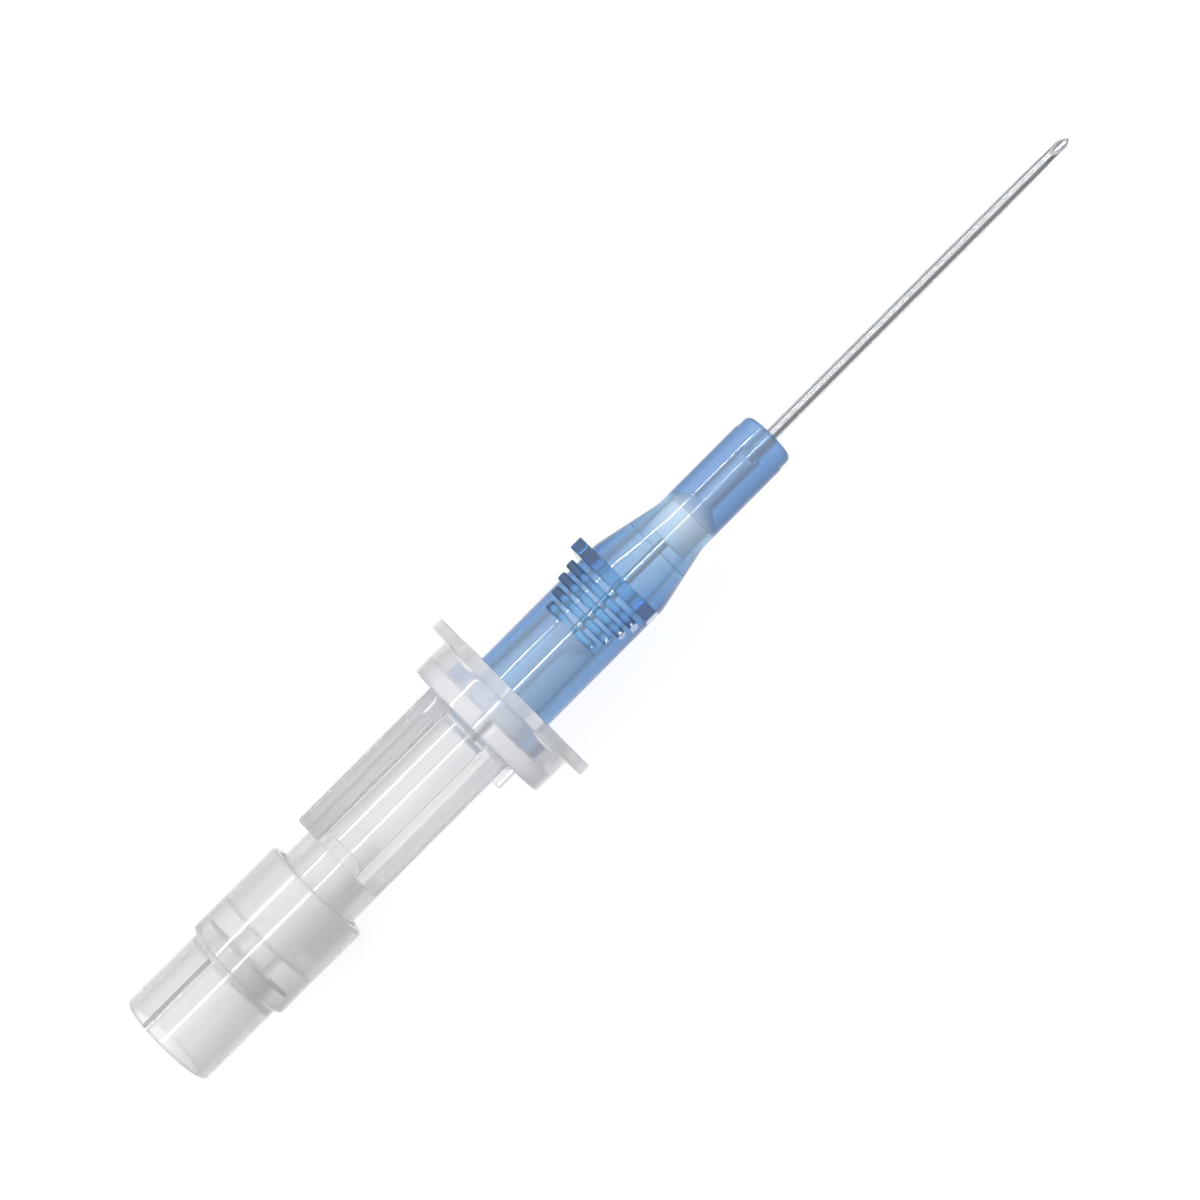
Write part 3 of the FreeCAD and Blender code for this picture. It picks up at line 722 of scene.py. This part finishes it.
# The painted light: a lighter blue mixed in where the raised parts stand out from the barrel
painted_light_blue_mix = nodes.new("ShaderNodeMix")
painted_light_blue_mix.data_type = "RGBA"
painted_light_blue_mix.inputs["B"].default_value = (0.5, 0.86, 1.0, 1)
links.new(painted_light_mask, painted_light_blue_mix.inputs["Factor"])
links.new(wall_colour, painted_light_blue_mix.inputs["A"])
links.new(painted_light_blue_mix.outputs["Result"], nodes["Principled BSDF"].inputs["Base Color"])
seat(blue_hub, "catheter", "catheter_hub", blue_plastic)

# VENT PLUG
# A softer, slightly milky clear moulding pushed into the open end of the flash chamber. Its
# collar covers the chamber's rim, and its slotted skirt lets air out behind the filter.
PLUG_NOSE_FRONT = -10.75
PLUG_FLOOR = -19.9
PLUG_BORE_RADIUS = 1.15
COLLAR_FRONT = -15.4
COLLAR_REAR = -22.65
COLLAR_RADIUS = 3.9
COLLAR_DRAFT = 0.02
COLLAR_BORE_RADIUS = 3.3
SKIRT_REAR = -29.0
SKIRT_FLOOR = -23.05
SKIRT_RADIUS = 3.48
SKIRT_BORE_RADIUS = 2.88
SLOT_HALF_WIDTH = 0.2
SLOT_TURN = -18.7
FILTER_FRONT = -21.55
FILTER_RADIUS = 2.3
plug = lathe("vent_plug_clear", [
    (PLUG_NOSE_FRONT, PLUG_BORE_RADIUS, 0.1),
    (PLUG_NOSE_FRONT, chamber_radius(PLUG_NOSE_FRONT) - FIT_CLEARANCE, 0.12),
    (PLUG_FLOOR, chamber_radius(PLUG_FLOOR) - FIT_CLEARANCE, 0.2),
    (PLUG_FLOOR, COLLAR_BORE_RADIUS, 0.3),
    (COLLAR_FRONT, COLLAR_BORE_RADIUS, 0.1),
    (COLLAR_FRONT, COLLAR_RADIUS, 0.42),
    (COLLAR_REAR, COLLAR_RADIUS - COLLAR_DRAFT, 0.28),
    (COLLAR_REAR, SKIRT_RADIUS, 0.1),
    (SKIRT_REAR, SKIRT_RADIUS, 0.4),
    (SKIRT_REAR, SKIRT_BORE_RADIUS, 0.12),
    (SKIRT_FLOOR, SKIRT_BORE_RADIUS, 0.3),
    (SKIRT_FLOOR, FILTER_RADIUS, 0.1),
    (FILTER_FRONT, FILTER_RADIUS, 0.1),
    (FILTER_FRONT, PLUG_BORE_RADIUS, 0.1),
])
slot_cut = prism("slot_cut", [
    (SKIRT_REAR - 1, -SLOT_HALF_WIDTH),
    (SKIRT_FLOOR, -SLOT_HALF_WIDTH, 0.1),
    (SKIRT_FLOOR, SLOT_HALF_WIDTH, 0.1),
    (SKIRT_REAR - 1, SLOT_HALF_WIDTH),
], "Z", 1.0, 4.5)
slot_cut.data.transform(Matrix.Rotation(math.radians(SLOT_TURN), 4, "X"))
combine(plug, [slot_cut], "DIFFERENCE")
milky_plastic = plastic(
    "milky_plastic", colour=(0.96, 0.962, 0.965), see_through=0.66, refraction=1.49, gloss=0.08,
    unevenness=0.1, ripple_size=600.0, ripple_height=0.000005, lets_by=(0.92, 0.92, 0.92),
    absorbs=(0.5, 0.51, 0.52), density=25.0)
seat(plug, "plug", "vent_plug", milky_plastic)

# VENT FILTER
# A white disc of porous plastic, pressed into its pocket in the plug. It lets air out and keeps
# the blood in.
FILTER_REAR = -22.95
vent_filter = lathe("filter_disc", [
    (FILTER_REAR, 0),
    (FILTER_FRONT, 0),
    (FILTER_FRONT, FILTER_RADIUS, 0.08),
    (FILTER_REAR, FILTER_RADIUS, 0.08),
], around=96)
porous = bpy.data.materials.new("porous_white")
porous.use_nodes = True
nodes, links = porous.node_tree.nodes, porous.node_tree.links
shader = nodes["Principled BSDF"]
shader.inputs["Base Color"].default_value = (0.88, 0.88, 0.86, 1)
shader.inputs["Roughness"].default_value = 0.85
grains = nodes.new("ShaderNodeTexVoronoi")
grains.inputs["Scale"].default_value = 9000.0
bump = nodes.new("ShaderNodeBump")
bump.inputs["Distance"].default_value = 0.00005
links.new(grains.outputs["Distance"], bump.inputs["Height"])
links.new(bump.outputs["Normal"], shader.inputs["Normal"])
seat(vent_filter, "plug", "vent_filter", porous)

# FLOOR AND LIGHT
# A pale table and an even studio light from above, placed in metres. The camera finds the table
# white all over, and glossy and see-through rays find it white near the cannula. It still takes
# the soft shadow.
TABLE_SPAN = 0.6
TABLE_DROP = 0.00002
TABLE_GREY = (0.3, 0.3, 0.3)
TABLE_GLOW = 0.8
GLOW_ON_OBJECT = 0.5
table_mesh = bpy.data.meshes.new("floor")
table_mesh.from_pydata([
    (-TABLE_SPAN, -TABLE_SPAN, 0),
    (TABLE_SPAN, -TABLE_SPAN, 0),
    (TABLE_SPAN, TABLE_SPAN, 0),
    (-TABLE_SPAN, TABLE_SPAN, 0),
], [], [(0, 1, 2, 3)])
table = bpy.data.objects.new("floor", table_mesh)
table.location = (0, 0, -TABLE_DROP)
bpy.context.scene.collection.objects.link(table)
white_table = bpy.data.materials.new("white_table")
white_table.use_nodes = True
tree = white_table.node_tree
nodes, links = tree.nodes, tree.links
nodes.remove(nodes["Principled BSDF"])
matte = nodes.new("ShaderNodeBsdfDiffuse")
matte.inputs["Color"].default_value = (*TABLE_GREY, 1)
rays = nodes.new("ShaderNodeLightPath")
through_plastic = calculated(tree, "MAXIMUM", rays.outputs["Is Transmission Ray"],
                             rays.outputs["Is Glossy Ray"])
# Far from the cannula the table gives the plastic no white, and little where a ray comes in low,
# so the plastic's walls show darker edges
place = nodes.new("ShaderNodeTexCoord")
from_middle = nodes.new("ShaderNodeVectorMath")
from_middle.operation = "LENGTH"
links.new(place.outputs["Object"], from_middle.inputs[0])
near = spread(tree, from_middle.outputs["Value"], low=0.05, high=0.14, out_low=1.0, out_high=0.0)
slant = nodes.new("ShaderNodeLayerWeight")
slant.inputs["Blend"].default_value = 0.5
upright = spread(tree, slant.outputs["Facing"], low=0.1, high=0.6, out_low=1.0, out_high=0.1)
white_near = calculated(tree, "MULTIPLY", through_plastic, near)
contour = calculated(tree, "MULTIPLY", white_near, upright)
seen = calculated(tree, "MAXIMUM", contour, rays.outputs["Is Camera Ray"])
lit = calculated(tree, "MULTIPLY_ADD", rays.outputs["Is Diffuse Ray"], GLOW_ON_OBJECT, seen)
glow = nodes.new("ShaderNodeEmission")
links.new(calculated(tree, "MULTIPLY", lit, TABLE_GLOW), glow.inputs["Strength"])
both = nodes.new("ShaderNodeAddShader")
links.new(matte.outputs["BSDF"], both.inputs[0])
links.new(glow.outputs["Emission"], both.inputs[1])
links.new(both.outputs["Shader"], nodes["Material Output"].inputs["Surface"])
table_mesh.materials.append(white_table)

world = bpy.data.worlds.new("studio")
bpy.context.scene.world = world
world.use_nodes = True
tree = world.node_tree
nodes, links = tree.nodes, tree.links
sky = nodes["Background"]
look = nodes.new("ShaderNodeTexCoord")
split = nodes.new("ShaderNodeSeparateXYZ")
links.new(look.outputs["Generated"], split.inputs["Vector"])
lean = calculated(tree, "MULTIPLY_ADD", split.outputs["Y"], 0.5, split.outputs["Z"])
sky_colour = two_tone(tree, lean, start=0.2, start_colour=(0.28, 0.28, 0.285),
                      end=0.75, end_colour=(0.95, 0.96, 0.98))
overhead = spread(tree, lean, low=0.75, high=1.1, out_low=0.85, out_high=1.0, ease="SMOOTHSTEP")
links.new(sky_colour, sky.inputs["Color"])
links.new(overhead, sky.inputs["Strength"])

# The key and the fill light the matt surfaces, and the two tubes only draw the highlights
for label, place, turn, size, width, power in (
    ("key", (-0.10, 0.22, 0.38), (-30, -14, 0), 0.30, 0.30, 0.45),
    ("fill", (0.22, -0.26, 0.30), (40, 36, 0), 0.35, 0.35, 0.25),
    ("side tube", (0.0, 0.298, 0.351), (-40.4, 0, 0), 0.60, 0.006, 0.9),
    ("top tube", (0.0, -0.027, 0.46), (3.3, 0, 0), 0.60, 0.006, 0.7),
):
    lamp_data = bpy.data.lights.new(label, "AREA")
    lamp_data.shape = "RECTANGLE"
    lamp_data.size = size
    lamp_data.size_y = width
    lamp_data.energy = power
    lamp = bpy.data.objects.new(label, lamp_data)
    lamp.location = place
    lamp.rotation_euler = [math.radians(angle) for angle in turn]
    is_tube = "tube" in label
    lamp.visible_diffuse = not is_tube
    lamp.visible_glossy = is_tube
    lamp.visible_transmission = is_tube
    bpy.context.scene.collection.objects.link(lamp)

# CAMERA
# Looks straight across the cannula's axis from above, rolled so that the axis runs from the
# lower left to the upper right of the picture.
ROLL_ABOUT_AXIS = math.radians(9)
PICTURE_SLANT = math.radians(45.07)
AIM_STATION = 10.15
AIM_LIFT = 0.3
OVER_STATION = 3.5
DISTANCE = 216.0
LENS = 102.4
SENSOR = 36
along = axis.normalized()
own_side = Vector((0, 1, 0))
own_up = along.cross(own_side)
towards = math.cos(ROLL_ABOUT_AXIS) * own_up - math.sin(ROLL_ABOUT_AXIS) * own_side
level_up = math.cos(ROLL_ABOUT_AXIS) * own_side + math.sin(ROLL_ABOUT_AXIS) * own_up
right = math.cos(PICTURE_SLANT) * along - math.sin(PICTURE_SLANT) * level_up
up = math.sin(PICTURE_SLANT) * along + math.cos(PICTURE_SLANT) * level_up
camera_data = bpy.data.cameras.new("camera")
camera_data.lens = LENS
camera_data.sensor_width = SENSOR
camera_data.clip_start = 0.01
aside = (AIM_STATION - OVER_STATION) / DISTANCE * LENS / SENSOR
camera_data.shift_x = aside * math.cos(PICTURE_SLANT)
camera_data.shift_y = aside * math.sin(PICTURE_SLANT)
under = hub_rear + along * (OVER_STATION * MM) + level_up * (AIM_LIFT * MM)
stand = under + towards * (DISTANCE * MM)
camera = bpy.data.objects.new("camera", camera_data)
camera.matrix_world = Matrix((
    (right.x, up.x, towards.x, stand.x),
    (right.y, up.y, towards.y, stand.y),
    (right.z, up.z, towards.z, stand.z),
    (0, 0, 0, 1),
))
bpy.context.scene.collection.objects.link(camera)
bpy.context.scene.camera = camera
